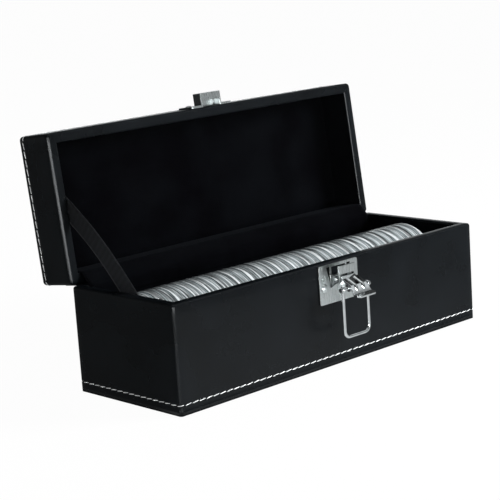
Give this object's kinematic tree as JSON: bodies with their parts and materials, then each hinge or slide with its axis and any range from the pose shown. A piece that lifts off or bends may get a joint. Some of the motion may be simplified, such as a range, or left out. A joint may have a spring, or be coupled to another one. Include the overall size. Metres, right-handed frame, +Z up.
{
  "type": "coin display case",
  "caption": "Hinged black leatherette case that holds a row of round clear coin capsules on edge, with a ribbon-stayed lid and a lever draw latch.",
  "frame": {"origin": "centre of the underside, on the surface that the case stands on", "axes": "+X along the length, from the ribbon stay's end to the other; -Y towards the latch; +Z up"},
  "size_m": [0.1724, 0.1033, 0.1082],
  "materials": {
    "leatherette": "smooth semi-gloss black coated fabric over thin padding",
    "board": "raw fibreboard, hidden under the covers",
    "velvet": "short-pile black velvet",
    "covered_foam": "black foam with a flocked face",
    "ribbon": "black woven ribbon with a slight sheen",
    "satin_nickel": "stamped steel with satin nickel plating",
    "bright_chrome": "bright plated steel",
    "clear_capsule": "clear moulded polystyrene"
  },
  "bodies": {
    "base": {"base_bottom_board": "board", "base_front_board": "board", "base_back_board": "board", "base_left_board": "board", "base_right_board": "board", "base_cover": "leatherette", "base_underside": "leatherette", "base_wall_lining": "velvet", "base_floor_lining": "velvet", "foam_rail_front": "covered_foam", "foam_rail_back": "covered_foam", "latch_plate": "satin_nickel", "latch_rivets": "satin_nickel", "latch_pivot_pin": "bright_chrome", "hinge_strip": "leatherette", "hinge_cloth": "velvet", "lid_stay": "ribbon"},
    "lid": {"lid_top_board": "board", "lid_front_board": "board", "lid_back_board": "board", "lid_left_board": "board", "lid_right_board": "board", "lid_cover": "leatherette", "lid_wall_lining": "velvet", "lid_top_lining": "velvet", "keeper": "satin_nickel", "keeper_rivets": "satin_nickel"},
    "lever": {"latch_lever": "bright_chrome"},
    "bail_pin": {"bail_pin": "bright_chrome"},
    "bail": {"bail": "bright_chrome"},
    "capsule_01": {"capsule_01": "clear_capsule"},
    "capsule_02": {"capsule_02": "clear_capsule"},
    "capsule_03": {"capsule_03": "clear_capsule"},
    "capsule_04": {"capsule_04": "clear_capsule"},
    "capsule_05": {"capsule_05": "clear_capsule"},
    "capsule_06": {"capsule_06": "clear_capsule"},
    "capsule_07": {"capsule_07": "clear_capsule"},
    "capsule_08": {"capsule_08": "clear_capsule"},
    "capsule_09": {"capsule_09": "clear_capsule"},
    "capsule_10": {"capsule_10": "clear_capsule"},
    "capsule_11": {"capsule_11": "clear_capsule"},
    "capsule_12": {"capsule_12": "clear_capsule"},
    "capsule_13": {"capsule_13": "clear_capsule"},
    "capsule_14": {"capsule_14": "clear_capsule"},
    "capsule_15": {"capsule_15": "clear_capsule"},
    "capsule_16": {"capsule_16": "clear_capsule"},
    "capsule_17": {"capsule_17": "clear_capsule"},
    "capsule_18": {"capsule_18": "clear_capsule"},
    "capsule_19": {"capsule_19": "clear_capsule"},
    "capsule_20": {"capsule_20": "clear_capsule"}
  },
  "joints": [
    {"name": "lid_hinge", "type": "hinge", "parent": "base", "child": "lid", "pos_m": [0, 0.03, 0.0427], "axis": [-1, 0, 0], "range_deg": [-96.9, 0], "deforming": ["lid_stay", "hinge_cloth", "hinge_strip"]},
    {"name": "lever_turn", "type": "hinge", "parent": "base", "child": "lever", "pos_m": [0.00065, -0.0339, 0.036], "axis": [-1, 0, 0], "range_deg": [-63, 20]},
    {"name": "bail_pin_turn", "type": "hinge", "parent": "lever", "child": "bail_pin", "pos_m": [0.00065, -0.03935, 0.03282], "axis": [-1, 0, 0], "range_deg": [-20, 63]},
    {"name": "bail_swing", "type": "hinge", "parent": "bail_pin", "child": "bail", "pos_m": [0.00065, -0.03935, 0.03282], "axis": [-1, 0, 0], "range_deg": [-6, 184]},
    {"name": "capsule_01_lift", "type": "slide", "parent": "base", "child": "capsule_01", "axis": [0, 0, 1], "range_m": [0, 0.045]},
    {"name": "capsule_02_lift", "type": "slide", "parent": "base", "child": "capsule_02", "axis": [0, 0, 1], "range_m": [0, 0.045]},
    {"name": "capsule_03_lift", "type": "slide", "parent": "base", "child": "capsule_03", "axis": [0, 0, 1], "range_m": [0, 0.045]},
    {"name": "capsule_04_lift", "type": "slide", "parent": "base", "child": "capsule_04", "axis": [0, 0, 1], "range_m": [0, 0.045]},
    {"name": "capsule_05_lift", "type": "slide", "parent": "base", "child": "capsule_05", "axis": [0, 0, 1], "range_m": [0, 0.045]},
    {"name": "capsule_06_lift", "type": "slide", "parent": "base", "child": "capsule_06", "axis": [0, 0, 1], "range_m": [0, 0.045]},
    {"name": "capsule_07_lift", "type": "slide", "parent": "base", "child": "capsule_07", "axis": [0, 0, 1], "range_m": [0, 0.045]},
    {"name": "capsule_08_lift", "type": "slide", "parent": "base", "child": "capsule_08", "axis": [0, 0, 1], "range_m": [0, 0.045]},
    {"name": "capsule_09_lift", "type": "slide", "parent": "base", "child": "capsule_09", "axis": [0, 0, 1], "range_m": [0, 0.045]},
    {"name": "capsule_10_lift", "type": "slide", "parent": "base", "child": "capsule_10", "axis": [0, 0, 1], "range_m": [0, 0.045]},
    {"name": "capsule_11_lift", "type": "slide", "parent": "base", "child": "capsule_11", "axis": [0, 0, 1], "range_m": [0, 0.045]},
    {"name": "capsule_12_lift", "type": "slide", "parent": "base", "child": "capsule_12", "axis": [0, 0, 1], "range_m": [0, 0.045]},
    {"name": "capsule_13_lift", "type": "slide", "parent": "base", "child": "capsule_13", "axis": [0, 0, 1], "range_m": [0, 0.045]},
    {"name": "capsule_14_lift", "type": "slide", "parent": "base", "child": "capsule_14", "axis": [0, 0, 1], "range_m": [0, 0.045]},
    {"name": "capsule_15_lift", "type": "slide", "parent": "base", "child": "capsule_15", "axis": [0, 0, 1], "range_m": [0, 0.045]},
    {"name": "capsule_16_lift", "type": "slide", "parent": "base", "child": "capsule_16", "axis": [0, 0, 1], "range_m": [0, 0.045]},
    {"name": "capsule_17_lift", "type": "slide", "parent": "base", "child": "capsule_17", "axis": [0, 0, 1], "range_m": [0, 0.045]},
    {"name": "capsule_18_lift", "type": "slide", "parent": "base", "child": "capsule_18", "axis": [0, 0, 1], "range_m": [0, 0.045]},
    {"name": "capsule_19_lift", "type": "slide", "parent": "base", "child": "capsule_19", "axis": [0, 0, 1], "range_m": [0, 0.045]},
    {"name": "capsule_20_lift", "type": "slide", "parent": "base", "child": "capsule_20", "axis": [0, 0, 1], "range_m": [0, 0.045]}
  ],
  "couplings": [
    {"joint": "bail_pin_turn", "follows": "lever_turn", "ratio": -1}
  ]
}
